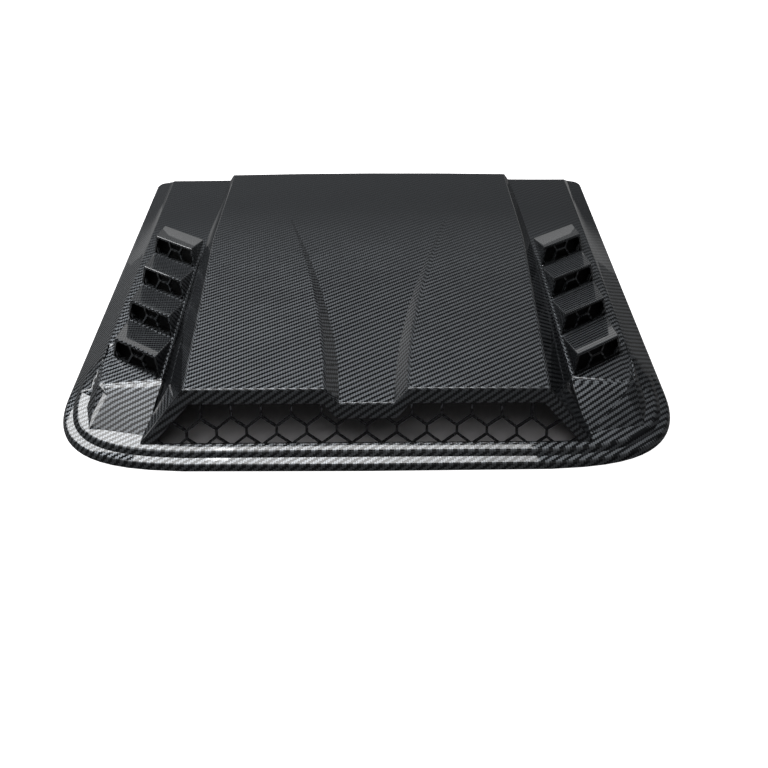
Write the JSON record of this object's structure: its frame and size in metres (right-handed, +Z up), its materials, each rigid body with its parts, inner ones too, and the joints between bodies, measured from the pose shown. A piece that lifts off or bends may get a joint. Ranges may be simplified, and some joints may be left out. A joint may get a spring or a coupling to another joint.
{
  "type": "bonnet scoop",
  "caption": "Moulded bonnet scoop shell with a raised centre panel, a honeycomb air intake, skewed side louvres and a stepped rim.",
  "frame": {"origin": "centre of the underside of the base rim", "axes": "+X across the width, the air intake faces -Y, +Z up away from the bonnet"},
  "size_m": [0.78, 0.682, 0.07],
  "materials": {
    "shell": "glossy black plastic with a woven carbon-look film under a clear coat"
  },
  "bodies": {
    "root": {"scoop_shell": "shell"}
  },
  "joints": []
}
